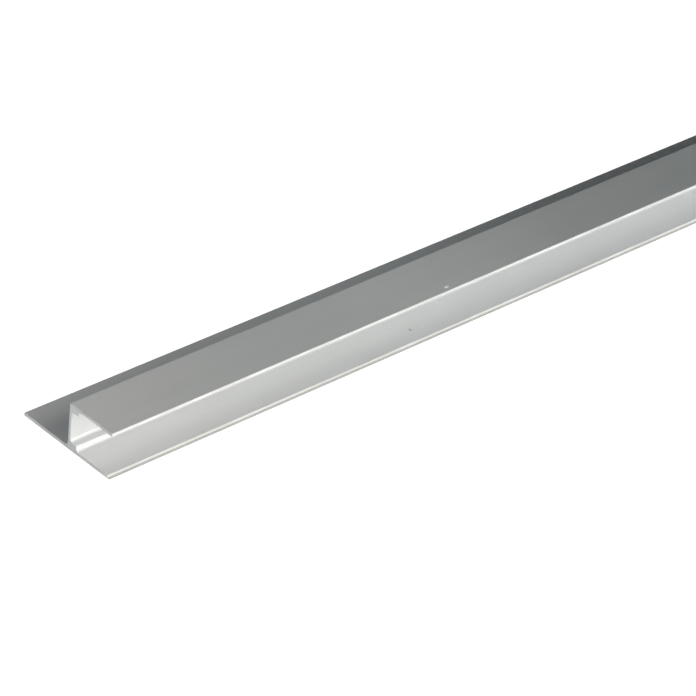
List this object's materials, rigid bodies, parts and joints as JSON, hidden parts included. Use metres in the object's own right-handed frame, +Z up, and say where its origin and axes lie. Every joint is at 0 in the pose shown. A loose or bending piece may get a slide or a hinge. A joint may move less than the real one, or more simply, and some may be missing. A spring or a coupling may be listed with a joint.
{
  "type": "aluminium extrusion profile",
  "caption": "Straight aluminium bar of h-shaped section: a wide base flange, a web on it and a top leg that makes an open slot for a panel's edge, with two low ribs inside that stop the panel.",
  "frame": {"origin": "middle of the base flange's underside, halfway along the bar", "axes": "+X along the bar, +Y towards the rear ledge, +Z up from the base; the panel slot opens towards -Y"},
  "size_m": [1, 0.046, 0.0188],
  "materials": {
    "aluminium": "satin mill finish with faint die lines along the length, sawn ends"
  },
  "bodies": {
    "root": {"profile": "aluminium"}
  },
  "joints": []
}
